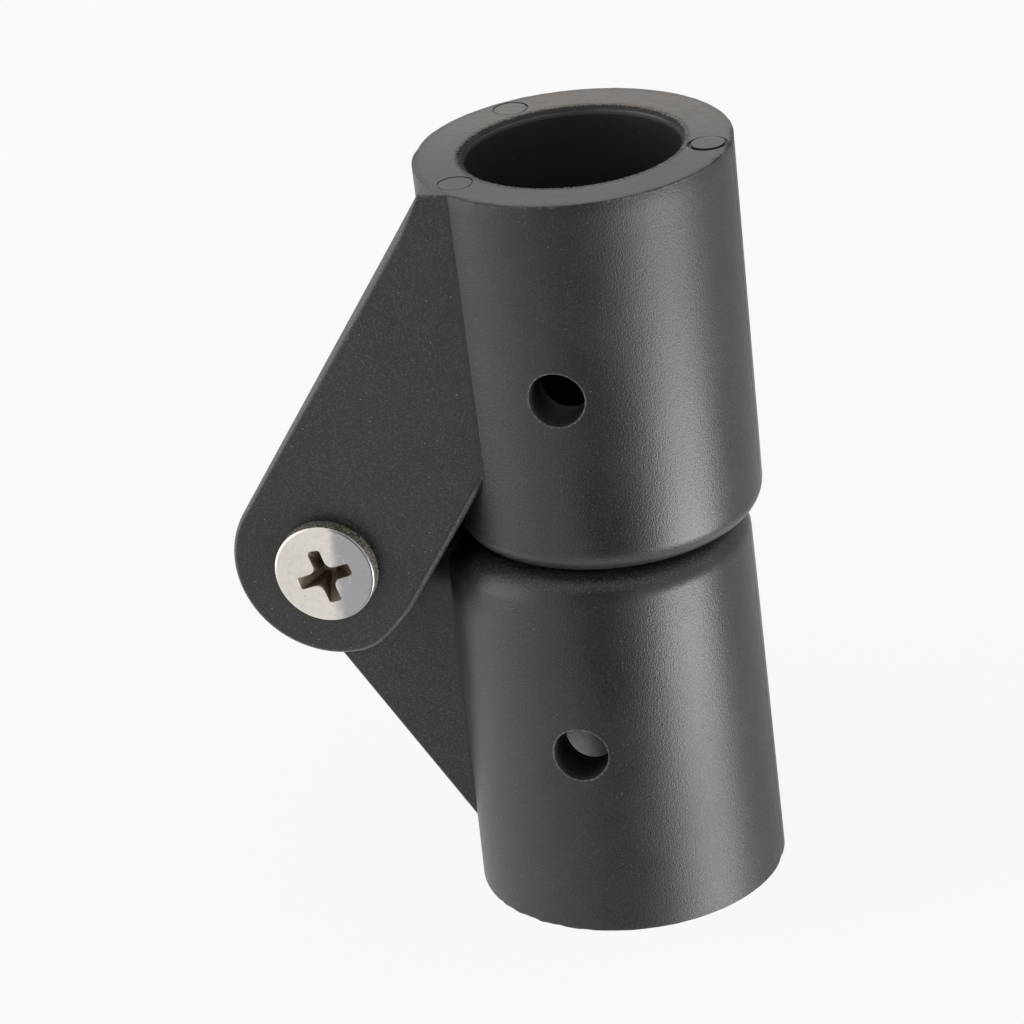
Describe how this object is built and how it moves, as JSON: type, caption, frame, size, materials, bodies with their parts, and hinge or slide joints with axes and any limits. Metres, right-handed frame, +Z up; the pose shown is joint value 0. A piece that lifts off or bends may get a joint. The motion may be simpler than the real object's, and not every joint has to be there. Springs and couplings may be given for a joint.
{
  "type": "nylon tube joint",
  "caption": "Folding nylon joint for round tubes: a fork socket and a tongue socket swing about a pivot screw, from end to end in line to side by side.",
  "frame": {"origin": "centre of the lower socket's mouth, on that socket's tube axis", "axes": "+Z up along the lower tube's axis, from the lower mouth to the upper one; -X towards the hinge; -Y towards the side with the screw's head"},
  "size_m": [0.0495, 0.03, 0.0755],
  "materials": {
    "socket_nylon": "black moulded nylon with a fine spark-eroded grain and a satin sheen",
    "screw_steel": "worn stainless steel",
    "nut_steel": "plain stainless steel",
    "ring_nylon": "natural nylon"
  },
  "bodies": {
    "tongue": {"tongue_socket": "socket_nylon"},
    "fork": {"fork_socket": "socket_nylon", "pivot_screw": "screw_steel", "lock_nut": "nut_steel", "lock_ring": "ring_nylon"}
  },
  "joints": [
    {"name": "fold", "type": "hinge", "parent": "tongue", "child": "fork", "pos_m": [-0.0235, 0, 0.03775], "axis": [0, -1, 0], "range_deg": [0, 180]}
  ]
}
